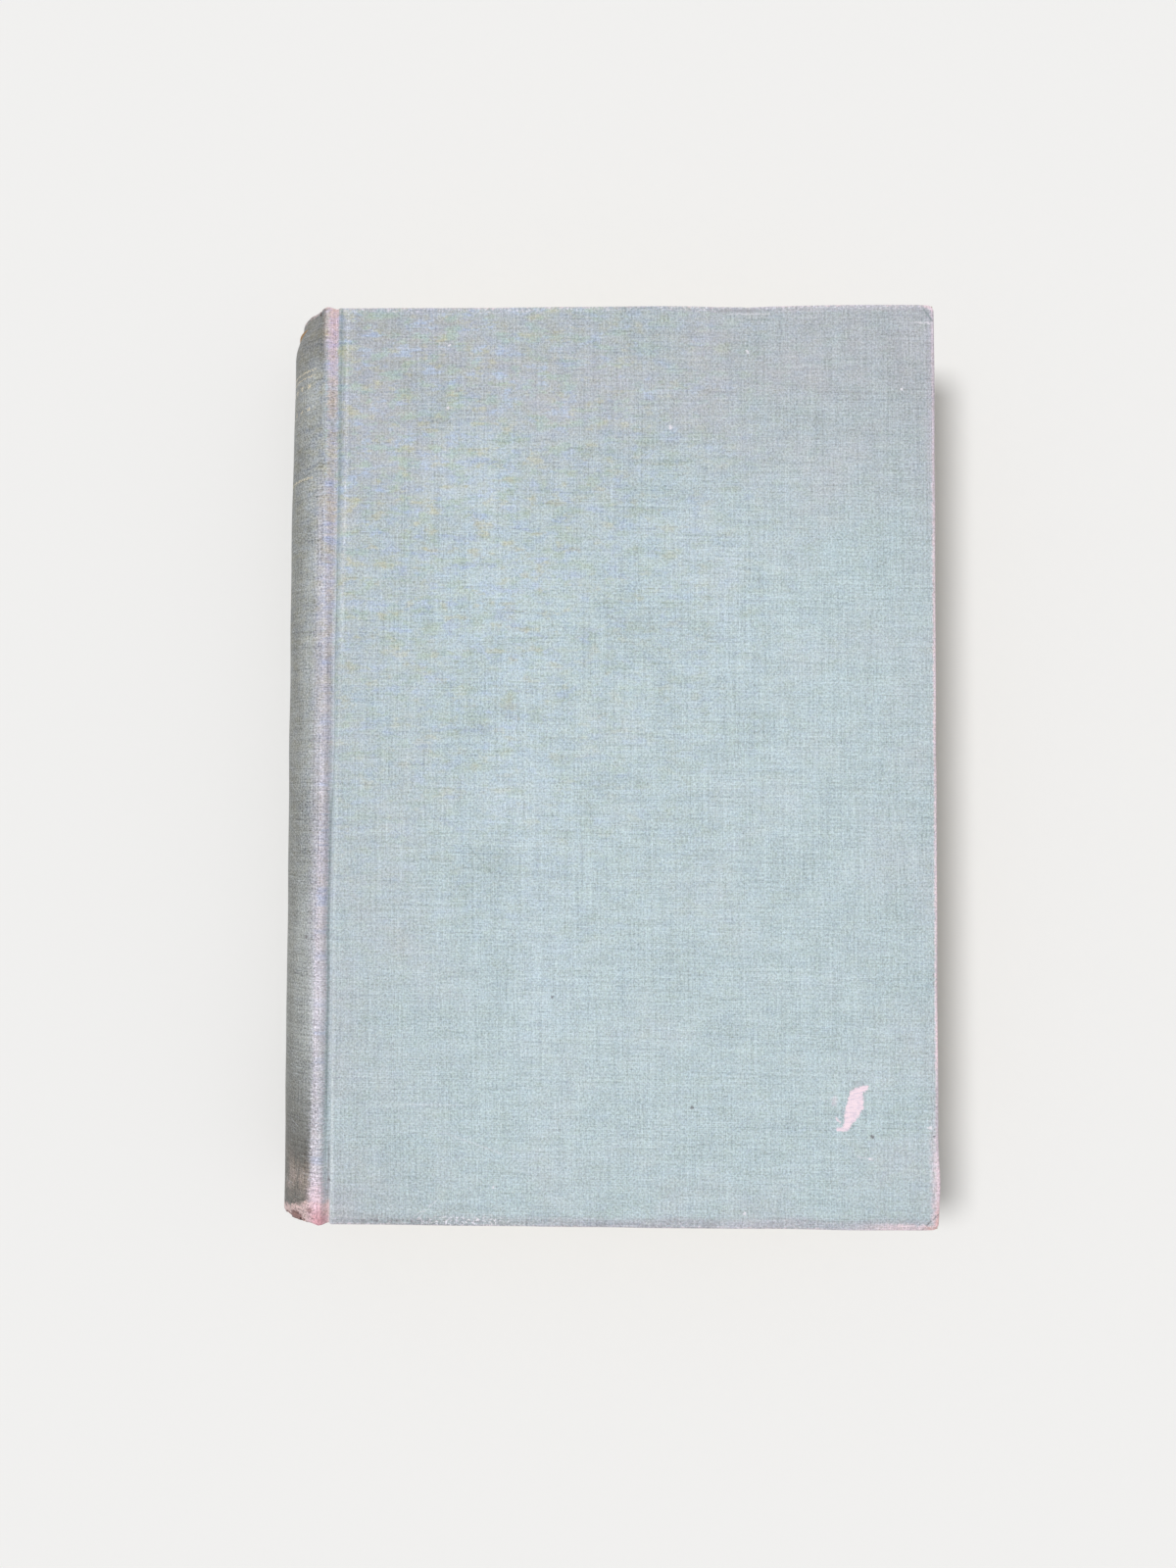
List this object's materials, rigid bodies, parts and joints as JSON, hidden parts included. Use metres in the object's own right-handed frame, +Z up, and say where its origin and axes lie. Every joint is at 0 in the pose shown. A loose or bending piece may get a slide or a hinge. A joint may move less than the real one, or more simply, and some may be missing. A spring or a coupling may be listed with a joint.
{
  "type": "hardback book",
  "caption": "Cloth-covered hardback book with a rounded spine; both covers open on cloth hinges round a sewn block of leaves.",
  "frame": {"origin": "under the middle of the closed book, on the surface that its back cover lies on", "axes": "+Y to the head of the book, -X to the spine, +X to the fore edge, +Z up from the back cover to the front cover"},
  "size_m": [0.1618, 0.225, 0.034],
  "materials": {
    "book_cloth": "matte",
    "page_paper": "matte",
    "endpaper": "matte",
    "mull": "matte",
    "lining_paper": "matte",
    "band_cloth": "matte",
    "millboard": "matte"
  },
  "bodies": {
    "text_block": {"page_block": "page_paper", "front_flyleaf": "endpaper", "back_flyleaf": "endpaper", "spine_mull": "mull", "spine_lining": "lining_paper", "headband": "band_cloth", "tailband": "band_cloth", "spine_inlay": "lining_paper", "spine_cloth": "book_cloth", "front_joint_cloth": "book_cloth", "back_joint_cloth": "book_cloth"},
    "front_cover": {"front_board": "millboard", "front_cloth": "book_cloth", "front_mull_flange": "mull", "front_pastedown": "endpaper"},
    "back_cover": {"back_board": "millboard", "back_cloth": "book_cloth", "back_mull_flange": "mull", "back_pastedown": "endpaper"}
  },
  "joints": [
    {"name": "front_cover_hinge", "type": "hinge", "parent": "text_block", "child": "front_cover", "pos_m": [-0.06885, 0, 0.0339], "axis": [0, -1, 0], "range_deg": [0, 178], "deforming": ["front_joint_cloth"]},
    {"name": "back_cover_hinge", "type": "hinge", "parent": "text_block", "child": "back_cover", "pos_m": [-0.06885, 0, 0.0001], "axis": [0, 1, 0], "range_deg": [0, 178], "deforming": ["back_joint_cloth"]}
  ]
}
